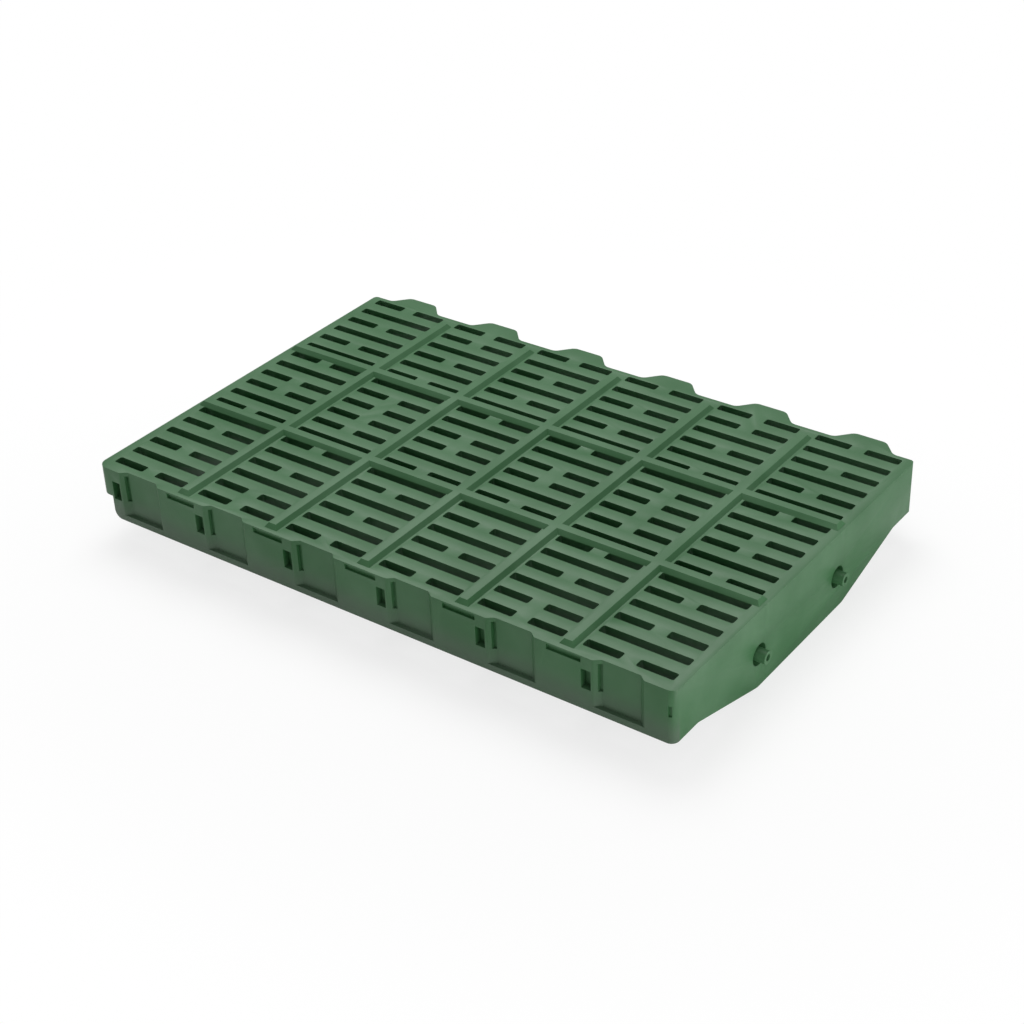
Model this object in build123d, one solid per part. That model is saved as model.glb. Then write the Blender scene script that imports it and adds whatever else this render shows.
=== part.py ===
from build123d import *
from math import atan, degrees, radians, sqrt, tan
import os

# Moulded plastic slatted floor panel for livestock pens, in millimetres.
# X runs along the long side from the hooked lip (0) to the smooth end, Y runs across the panel from the side
# with the bays (0) to the side with the tabs, and Z = 0 is the tread, the top face of the slats. The finished
# part is moved once, at the end, so that its origin lies at the middle of the underside of its bounding box.

# Overall sizes
length = 600.0              # long side
body_width = 391.5          # short side without the tabs
pad_depth = 50.0            # tread to the bearing pads along both long sides
belly_depth = 75.0          # tread to the lowest edge of the walls that carry the load
pad_length = 34.0           # run of a bearing pad along Y
belly_run = 91.0            # run of the sloping edge between pad and belly
belly_fillet = 18.0         # rounding where the lower edge changes direction

# Tread: six modules along X, eighteen rows of slots along Y
modules = 6
module_pitch = length / modules
row_pitch = 21.5
first_row = 16.75           # centre of the row next to the bays
slot_width = 9.0
slot_margin = 9.0           # module boundary to the end of a slot
slot_web = 14.5             # web between the two short slots of a row
slot_corner = 1.2           # chamfer of a slot's corners at the tread
slot_draft = 12.0           # degrees that each slot wall leans away towards the underside
slat_depth = 13.0           # tread to the underside of the slats
half_rows = {"A": "212121212", "B": "221212122"}   # slots in each row, from the edge to the middle
module_kinds = "ABAABA"

# Raised bars on the tread
bar_height = 4.0
bar_foot = 13.5             # width of a bar where it leaves the tread
bar_crown = 7.5             # width of its flat top
bar_start = 4.5             # near end of the bars along Y
bar_stop = 378.0            # far end of the bars along Y
cross_bar_rows = (6, 12)    # a cross bar lies before each of these rows, counted from zero
cross_bar_inset = 3.0       # cross bar end to the panel's short sides

# Walls and ribs
wall = 4.0
rib_wall = 4.0
cross_wall_depth = 60.0
wall_top = -12.0            # top of the walls and ribs, just inside the slats' underside
lower_rounding = 8.0        # lower left corner of the near wall
near_left_rounding = 10.0   # upright corners of the outline
near_right_rounding = 7.0
far_rounding = 4.0

# Tabs along the far side and the bays that receive a neighbour's tabs
tab_reach = 15.0
tab_base = 58.0
tab_tip = 31.0
tab_depth = 35.5
tab_tip_fillet = 9.0
tab_root_fillet = 9.0
bay_depth = 4.5
bay_mouth = 46.0
bay_back = 35.0
bay_fillet = 3.0
bay_height = 44.0
ledge = 6.0                 # floor of a bay, where a neighbour's tab rests

# Catch pocket and relief groove beside each bay, measured from the module boundary
catch_span = (16.0, 25.0)
catch_height = (-30.0, -12.0)
catch_depth = 7.0
catch_wall = 1.5            # thickness of the box behind a catch pocket
relief_span = (30.0, 33.5)
relief_height = (-30.0, -4.0)
relief_depth = 6.0
corner_slit = (594.0, 597.0)           # short slit in the land beside the right corner
corner_slit_height = (-25.0, -15.0)
corner_slit_depth = 2.0

# Grip groove under the tread on the lands between the bays
groove_length = 32.0
groove_height = 5.0
groove_below_tread = 1.5
groove_depth = 2.5

# Lip along the left short side
lip_reach = 14.0
lip_depth = 28.0
lip_wall = 3.5

# Couplings in the short sides
coupling_rows = (126.0, 255.0)         # places of the couplings along Y
coupling_level = -43.0
spigot_radius = 6.0
spigot_bore = 3.0
spigot_bore_depth = 16.0
spigot_reach = 8.0
socket_radius = 10.0
socket_depth = 7.0
socket_wall = 3.0
coupling_clearance = 0.5
collar_bite = 6.0           # how far a collar enters the socket of the next panel

overshoot = 1.0             # how far a cutting shape passes the face it starts from
match = 0.01                # how near a corner has to be to count as lying on a line

overall_width = body_width + tab_reach
collar_radius = socket_radius - coupling_clearance
collar_bore = spigot_radius + coupling_clearance


def span_box(x, y, z):
    """A box from three (low, high) pairs."""
    return Pos(x[0], y[0], z[0]) * Box(x[1] - x[0], y[1] - y[0], z[1] - z[0], align=(Align.MIN,) * 3)


def row_centre(row):
    return first_row + row * row_pitch


def module_centres():
    return [(index + 0.5) * module_pitch for index in range(modules)]


def trapezoid(centre_x, base_y, base, tip, reach):
    """A plan trapezoid that stands on y = base_y and narrows towards +Y."""
    points = [(-base / 2, 0), (base / 2, 0), (tip / 2, reach), (-tip / 2, reach)]
    return Pos(centre_x, base_y) * Polygon(*points, align=None)


def corners_at(plan, y):
    """Corners of a plan on one line along X, without those at the ends of the panel."""
    return plan.vertices().filter_by(lambda corner: abs(corner.Y - y) < match
                                     and match < corner.X < length - match)


def sharp_outline():
    """Plan of the tread with its tabs and bays, before its corners are rounded."""
    plan = Pos(length / 2, body_width / 2) * Rectangle(length, body_width)
    for x in module_centres():
        plan += trapezoid(x, body_width, tab_base, tab_tip, tab_reach)
        plan -= trapezoid(x, 0, bay_mouth, bay_back, bay_depth)
    return plan


def deck_outline():
    plan = fillet(corners_at(sharp_outline(), overall_width), tab_tip_fillet)
    plan = fillet(corners_at(plan, body_width), tab_root_fillet)
    plan = fillet(corners_at(plan, bay_depth), bay_fillet)
    plan = fillet(corners_at(plan, 0), bay_fillet)
    return plan


def slot_cutter(slot_length):
    """A slot that widens towards the underside, so that nothing lodges in it."""
    lean = tan(radians(slot_draft))
    spread = (slat_depth + overshoot) * lean
    foot = Rectangle(slot_length + 2 * spread, slot_width + 2 * spread)
    foot = chamfer(foot.vertices(), slot_corner + (2 - sqrt(2)) * spread)
    height = slat_depth + 2 * overshoot
    return Pos(0, 0, -slat_depth - overshoot) * extrude(foot, height, taper=slot_draft)


def slot_cutters():
    long_slot = module_pitch - 2 * slot_margin
    short_slot = (long_slot - slot_web) / 2
    cutters = {"1": slot_cutter(long_slot), "2": slot_cutter(short_slot)}
    offsets = {"1": [0.0], "2": [-(short_slot + slot_web) / 2, (short_slot + slot_web) / 2]}
    placed = []
    for kind, x in zip(module_kinds, module_centres()):
        counts = half_rows[kind] + half_rows[kind][::-1]
        for row, count in enumerate(counts):
            for offset in offsets[count]:
                placed.append(Pos(x + offset, row_centre(row), 0) * cutters[count])
    return placed


def tread(plan):
    plate = extrude(plan, -slat_depth)
    return plate - slot_cutters()


def raised_bar(x_size, y_size):
    """A bar with sloping flanks and ends."""
    flank = degrees(atan((bar_foot - bar_crown) / 2 / bar_height))
    foot = Rectangle(x_size, y_size)
    return Pos(0, 0, -overshoot) * extrude(foot, overshoot) + extrude(foot, bar_height, taper=flank)


def raised_bars():
    run = bar_stop - bar_start
    bars = []
    for index in range(1, modules):
        bars.append(Pos(index * module_pitch, bar_start + run / 2, 0) * raised_bar(bar_foot, run))
    for row in cross_bar_rows:
        y = row_centre(row) - row_pitch / 2
        bars.append(Pos(length / 2, y, 0) * raised_bar(length - 2 * cross_bar_inset, bar_foot))
    return bars


def belly_plate(x, thickness):
    """A wall across the panel whose lower edge dips to the belly between the two bearing pads."""
    slope_start = pad_length
    slope_stop = pad_length + belly_run
    points = [
        (0, wall_top),
        (0, -pad_depth),
        (slope_start, -pad_depth),
        (slope_stop, -belly_depth),
        (body_width - slope_stop, -belly_depth),
        (body_width - slope_start, -pad_depth),
        (body_width, -pad_depth),
        (body_width, wall_top),
    ]
    side = Polygon(*points, align=None)
    bends = side.vertices().filter_by(lambda corner: match < corner.X < body_width - match)
    side = fillet(bends, belly_fillet)
    return Pos(x, 0, 0) * extrude(Plane.YZ * side, thickness)


def load_walls():
    """The two end walls and the rib under each module boundary."""
    walls = [belly_plate(lip_reach, wall), belly_plate(length - wall, wall)]
    for index in range(1, modules):
        walls.append(belly_plate(index * module_pitch - rib_wall / 2, rib_wall))
    return walls


def cross_walls():
    """Walls along X under the cross bars."""
    run = (lip_reach + wall / 2, length - wall / 2)
    walls = []
    for row in cross_bar_rows:
        y = row_centre(row) - row_pitch / 2
        walls.append(span_box(run, (y - rib_wall / 2, y + rib_wall / 2), (-cross_wall_depth, wall_top)))
    return walls


def inside(thickness):
    """Plan of the space within a wall that follows the outline."""
    return offset(sharp_outline(), -thickness, kind=Kind.INTERSECTION)


def long_walls(plan):
    """Near wall with its bays, far wall with its hollow tabs, and the lip's skirt."""
    ring = plan - inside(wall)
    core = (lip_reach, length)
    near = extrude(ring, -bay_height - ledge) & span_box(core, (0, 2 * bay_depth + wall), (-pad_depth, 0))
    near += span_box(core, (0, wall), (-pad_depth, -bay_height))
    for x in module_centres():
        reach = bay_mouth / 2 + wall
        near += span_box((x - reach, x + reach), (0, bay_depth + wall), (-bay_height - ledge, -bay_height))
    far = extrude(ring, -tab_depth) & span_box(core, (body_width - wall, overall_width), (-tab_depth, 0))
    far += span_box(core, (body_width - wall, body_width), (-pad_depth, -overshoot))
    channel = inside(lip_wall)
    corner = channel.vertices().sort_by(lambda vertex: vertex.X + vertex.Y)[0]
    channel = fillet(corner, near_left_rounding - lip_wall)
    skirt = extrude(plan - channel, -lip_depth)
    skirt &= span_box((0, lip_reach + wall), (0, body_width), (-lip_depth, 0))
    return near + far + skirt


def along_modules(span, index):
    """A span along X that is measured from a module's left boundary."""
    return (index * module_pitch + span[0], index * module_pitch + span[1])


def catch_boxes():
    """The boxes behind the near wall that close the catch pockets."""
    span = (catch_span[0] - catch_wall, catch_span[1] + catch_wall)
    height = (catch_height[0] - catch_wall, wall_top)
    return [span_box(along_modules(span, index), (wall / 2, catch_depth + catch_wall), height)
            for index in range(modules)]


def catch_cutters():
    """The pocket and the groove beside each bay, and the slit at the right corner."""
    cutters = [span_box(corner_slit, (-overshoot, corner_slit_depth), corner_slit_height)]
    for index in range(modules):
        cutters.append(span_box(along_modules(catch_span, index), (-overshoot, catch_depth), catch_height))
        cutters.append(span_box(along_modules(relief_span, index), (-overshoot, relief_depth), relief_height))
    return cutters


def lower_corner_cutter():
    """What is taken off the near wall to round its lower left corner."""
    centre = (lip_reach + lower_rounding, lower_rounding - pad_depth)
    square = span_box((lip_reach - overshoot, centre[0]), (-overshoot, wall + overshoot),
                      (-pad_depth - overshoot, centre[1]))
    rounded = Pos(centre[0], wall / 2, centre[1]) * Rot(90, 0, 0) * Cylinder(lower_rounding, 3 * wall)
    return square - rounded


def upright_corner_cutters():
    """What is taken off the four upright corners of the outline to round them."""
    corners = [
        (0, 0, near_left_rounding),
        (length, 0, near_right_rounding),
        (0, body_width, far_rounding),
        (length, body_width, far_rounding),
    ]
    cutters = []
    for x, y, radius in corners:
        side = 1 if x == 0 else -1
        across = 1 if y == 0 else -1
        middle = (x + side * (radius - overshoot) / 2, y + across * (radius - overshoot) / 2)
        square = Pos(*middle) * Rectangle(radius + overshoot, radius + overshoot)
        round_part = Pos(x + side * radius, y + across * radius) * Circle(radius)
        corner = extrude(square - round_part, pad_depth + 2 * overshoot)
        cutters.append(Pos(0, 0, -pad_depth - overshoot) * corner)
    return cutters


def groove_cutters():
    top = -groove_below_tread
    cutters = []
    for index in range(1, modules):
        x = index * module_pitch
        cutters.append(span_box((x - groove_length / 2, x + groove_length / 2),
                                (-overshoot, groove_depth), (top - groove_height, top)))
    return cutters


def rod(x, y, radius, run):
    """A round bar along +X."""
    return Pos(x, y, coupling_level) * Rot(0, 90, 0) * Cylinder(
        radius, run, align=(Align.CENTER, Align.CENTER, Align.MIN))


def add_couplings(body):
    """Sockets with a central spigot in the right wall, and the collars that fit them on the left wall."""
    floor = length - socket_depth - socket_wall
    across = socket_radius + socket_wall
    for y in coupling_rows:
        body += span_box((floor, length - overshoot), (y - across, y + across),
                         (coupling_level - across, coupling_level + across))
        body -= rod(length - socket_depth, y, socket_radius, socket_depth + overshoot)
        body += rod(floor, y, spigot_radius, length - floor + spigot_reach)
        body -= rod(length + spigot_reach - spigot_bore_depth, y, spigot_bore, spigot_bore_depth + overshoot)
        body += rod(-collar_bite, y, collar_radius, lip_reach + wall + collar_bite)
        body -= rod(-collar_bite - overshoot, y, collar_bore, lip_reach + wall + collar_bite + 2 * overshoot)
    return body


def panel():
    plan = deck_outline()
    body = tread(plan)
    body = body + load_walls() + cross_walls() + long_walls(plan) + catch_boxes()
    body = body - catch_cutters() - groove_cutters()
    body = body - lower_corner_cutter() - upright_corner_cutters()
    body = add_couplings(body)
    return body + raised_bars()


def to_origin(body):
    """Moves the part so that its origin is the middle of the underside of its bounding box."""
    middle_x = (length + spigot_reach - collar_bite) / 2
    return Pos(-middle_x, -overall_width / 2, belly_depth) * body


os.makedirs("parts", exist_ok=True)
export_step(to_origin(panel()), "parts/slat_panel.step")
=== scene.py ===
"""Slatted floor panel in moulded green plastic: its finish, the light and the camera."""
from math import pi, radians

import bpy
from mathutils import Matrix, Vector


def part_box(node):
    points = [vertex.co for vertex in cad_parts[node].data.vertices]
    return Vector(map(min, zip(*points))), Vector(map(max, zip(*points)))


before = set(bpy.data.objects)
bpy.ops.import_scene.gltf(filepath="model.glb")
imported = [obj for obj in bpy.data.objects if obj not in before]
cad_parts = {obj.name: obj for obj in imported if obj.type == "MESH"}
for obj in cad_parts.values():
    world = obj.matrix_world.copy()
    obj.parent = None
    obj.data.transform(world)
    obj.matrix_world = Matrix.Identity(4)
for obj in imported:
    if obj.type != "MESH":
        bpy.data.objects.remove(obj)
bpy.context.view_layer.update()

MM = 0.001

# The panel as the frame gives it
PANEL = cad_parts["slat_panel"]
LOW, HIGH = (Vector(corner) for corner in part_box("slat_panel"))
MIDDLE = (LOW + HIGH) / 2
NEAR_WALL_FOOT = 25 * MM
CROSS_WALLS = (LOW.y + 135 * MM, LOW.y + 264 * MM)

# Rounding that the mould gives to every edge
EDGE_RADIUS = 0.9 * MM
EDGE_STEPS = 2
EDGE_ANGLE = radians(35)
SAME_POINT = 0.01 * MM
FLAT_ANGLE = radians(0.5)

# Plastic
GREEN = (0.028, 0.112, 0.037)
PALE_GREEN = (0.040, 0.127, 0.049)
DEEP_GREEN = (0.018, 0.097, 0.026)
# Greyer, slightly darker green towards the foot of the near wall
FOOT_GREY_GREEN = (0.062, 0.092, 0.064)
PLASTIC_INDEX = 1.49

# Floor
FLOOR_SIZE = 12
FLOOR_WHITE = 0.86
SHADOW_SHARE = 0.25
SHADOW_REACH = (0.48, 0.36)

# Camera, solved from the photograph's grid of slots
CAMERA_PLACE = Vector((0.91495, -1.21285, 0.98754))
CAMERA_HEADING = radians(36.945)
CAMERA_DROP = radians(32.488)
CAMERA_ROLL = radians(-2.214)
FOCAL_LENGTH = 71.02
FILM_WIDTH = 36.0


class Socket:
    """A node socket that shader maths can be written with."""

    def __init__(self, shader, link):
        self.shader = shader
        self.link = link

    def maths(self, operation, *values):
        return self.shader.node("ShaderNodeMath", {"operation": operation}, values)

    def __add__(self, other):
        return self.maths("ADD", self, other)

    __radd__ = __add__

    def __sub__(self, other):
        return self.maths("SUBTRACT", self, other)

    def __rsub__(self, other):
        return self.maths("SUBTRACT", other, self)

    def __mul__(self, other):
        return self.maths("MULTIPLY", self, other)

    __rmul__ = __mul__

    def __pow__(self, other):
        return self.maths("POWER", self, other)

    def fade(self, start, stop):
        """0 below start and 1 above stop, with a smooth step between them."""
        return self.shader.node("ShaderNodeMapRange", {"interpolation_type": "SMOOTHSTEP"},
                                {"Value": self, "From Min": start, "From Max": stop})

    def near(self, centre, reach):
        """1 at a value and 0 from a distance on, with a smooth slope between them."""
        return 1 - (self - centre).maths("ABSOLUTE", self - centre).fade(0.0, reach)


class Shader:
    """A material or a world with one way to make a node."""

    def __init__(self, owner, output_kind="ShaderNodeOutputMaterial"):
        self.owner = owner
        owner.use_nodes = True
        self.tree = owner.node_tree
        self.tree.nodes.clear()
        self.output = self.tree.nodes.new(output_kind)

    def connect(self, value, socket):
        if isinstance(value, Socket):
            self.tree.links.new(value.link, socket)
        elif isinstance(value, (tuple, list)) and len(value) == 3 and socket.type == "RGBA":
            socket.default_value = (*value, 1.0)
        else:
            socket.default_value = value

    def node(self, kind, settings=None, values=None, output=0):
        """One node: its settings first, then the values or links of its sockets."""
        made = self.tree.nodes.new(kind)
        for key, value in (settings or {}).items():
            setattr(made, key, value)
        pairs = values.items() if isinstance(values, dict) else enumerate(values or ())
        for key, value in pairs:
            self.connect(value, made.inputs[key])
        return Socket(self, made.outputs[output])

    def mix(self, factor, first, second):
        return self.node("ShaderNodeMix", {"data_type": "RGBA", "clamp_factor": True},
                         {0: factor, 6: first, 7: second}, output=2)

    def noise(self, place, size, detail=2.0, roughness=0.5):
        return self.node("ShaderNodeTexNoise", {},
                         {"Vector": place, "Scale": 1 / size, "Detail": detail, "Roughness": roughness})

    def bump(self, height, depth, strength, below=None):
        values = {"Strength": strength, "Distance": depth, "Height": height}
        if below:
            values["Normal"] = below
        return self.node("ShaderNodeBump", {}, values)

    def coordinates(self):
        """Place in the object's own axes: the vector and its three parts."""
        place = self.node("ShaderNodeTexCoord", output=3)
        parts = [self.node("ShaderNodeSeparateXYZ", {}, [place], output=index) for index in range(3)]
        return place, parts

    def surface(self, link):
        self.tree.links.new(link.link, self.output.inputs["Surface"])
        return self.owner


def moulded_plastic():
    """Satin polypropylene with a fine spark-eroded grain and slow changes of shade."""
    shader = Shader(bpy.data.materials.new("moulded_plastic"))
    place, (x, y, z) = shader.coordinates()
    cloud = shader.noise(place, 60 * MM, detail=3.0)
    patch = shader.noise(place, 14 * MM, detail=2.0)
    grain = shader.noise(place, 0.9 * MM, detail=3.0, roughness=0.6)
    ripple = shader.noise(place, 22 * MM, detail=1.0)
    colour = shader.mix(cloud.fade(0.3, 0.7), DEEP_GREEN, PALE_GREEN)
    colour = shader.mix(patch * 0.35, colour, GREEN)
    # The near wall turns greyer and a little darker towards its foot, in patches
    near_side = 1 - y.fade(LOW.y + 6 * MM, LOW.y + 9 * MM)
    foot = 1 - z.fade(NEAR_WALL_FOOT, NEAR_WALL_FOOT + 32 * MM)
    colour = shader.mix(near_side * foot * (0.5 + 0.5 * patch), colour, FOOT_GREY_GREEN)
    sink = x.fade(HIGH.x - 12 * MM, HIGH.x - 9 * MM) * (y.near(CROSS_WALLS[0], 5 * MM) + y.near(CROSS_WALLS[1], 5 * MM))
    normal = shader.bump(grain, 0.05 * MM, 0.35)
    normal = shader.bump(ripple, 0.35 * MM, 0.25, normal)
    normal = shader.bump(1 - sink, 0.4 * MM, 0.6, normal)
    plastic = shader.node("ShaderNodeBsdfPrincipled", {}, {
        "Base Color": colour,
        "Roughness": 0.44 + 0.12 * patch,
        "IOR": PLASTIC_INDEX,
        "Normal": normal,
    })
    return shader.surface(plastic)


def dress_panel():
    """Plastic on the panel, and the moulded rounding of its edges."""
    PANEL.data.materials.clear()
    PANEL.data.materials.append(moulded_plastic())
    weld = PANEL.modifiers.new("weld", "WELD")
    weld.merge_threshold = SAME_POINT
    flat = PANEL.modifiers.new("flat_faces", "DECIMATE")
    flat.decimate_type = "DISSOLVE"
    flat.angle_limit = FLAT_ANGLE
    rounding = PANEL.modifiers.new("moulded_edges", "BEVEL")
    rounding.width = EDGE_RADIUS
    rounding.segments = EDGE_STEPS
    rounding.limit_method = "ANGLE"
    rounding.angle_limit = EDGE_ANGLE
    rounding.use_clamp_overlap = True
    rounding.harden_normals = True
    PANEL.data.shade_smooth()


def make_floor():
    """A white floor that keeps a soft shadow near the panel and is plain white beyond it."""
    shader = Shader(bpy.data.materials.new("white_floor"))
    place, (x, y, z) = shader.coordinates()
    across = x.maths("DIVIDE", x, SHADOW_REACH[0])
    along = y.maths("DIVIDE", y, SHADOW_REACH[1])
    away = (across * across + along * along) ** 0.5
    share = SHADOW_SHARE * (1 - away.fade(0.8, 1.7))
    matte = shader.node("ShaderNodeBsdfDiffuse", {}, {"Color": (FLOOR_WHITE,) * 3})
    white = shader.node("ShaderNodeEmission", {}, {"Color": (1.0, 1.0, 1.0), "Strength": 1.0})
    camera_ray = shader.node("ShaderNodeLightPath")
    floor_mix = shader.node("ShaderNodeMixShader", {}, {0: camera_ray * (1 - share), 1: matte, 2: white})
    bpy.ops.mesh.primitive_plane_add(size=FLOOR_SIZE, location=(0, 0, 0))
    floor = bpy.context.object
    floor.name = "floor"
    floor.data.materials.append(shader.surface(floor_mix))


def area_light(name, place, target, size, power):
    data = bpy.data.lights.new(name, "AREA")
    data.shape = "RECTANGLE"
    data.size = size[0]
    data.size_y = size[1]
    data.energy = power
    lamp = bpy.data.objects.new(name, data)
    bpy.context.scene.collection.objects.link(lamp)
    lamp.location = place
    lamp.rotation_euler = (Vector(target) - Vector(place)).to_track_quat("-Z", "Y").to_euler()


def make_light():
    """An even white studio with a large lamp overhead and a low card at the right."""
    shader = Shader(bpy.data.worlds.new("studio"), "ShaderNodeOutputWorld")
    camera_ray = shader.node("ShaderNodeLightPath")
    soft = shader.node("ShaderNodeBackground", {}, {"Color": (1.0, 1.0, 1.0), "Strength": 0.52})
    plain = shader.node("ShaderNodeBackground", {}, {"Color": (1.0, 1.0, 1.0), "Strength": 1.0})
    bpy.context.scene.world = shader.surface(shader.node("ShaderNodeMixShader", {}, {0: camera_ray, 1: soft, 2: plain}))
    area_light("overhead", (-0.5, 0.7, 2.0), (0, 0, 0.05), (1.6, 1.6), 38)
    area_light("right_card", (1.0, -0.1, 0.04), (0.3, -0.03, 0.04), (1.2, 0.08), 4.4)


def make_camera():
    data = bpy.data.cameras.new("photograph_view")
    data.sensor_width = FILM_WIDTH
    data.lens = FOCAL_LENGTH
    data.clip_start = 0.05
    camera = bpy.data.objects.new("photograph_view", data)
    bpy.context.scene.collection.objects.link(camera)
    turn = Matrix.Rotation(CAMERA_HEADING, 4, "Z") @ Matrix.Rotation(pi / 2 - CAMERA_DROP, 4, "X")
    camera.matrix_world = Matrix.Translation(CAMERA_PLACE) @ turn @ Matrix.Rotation(CAMERA_ROLL, 4, "Z")
    bpy.context.scene.camera = camera


dress_panel()
make_floor()
make_light()
make_camera()
bpy.context.scene.view_settings.view_transform = "Standard"
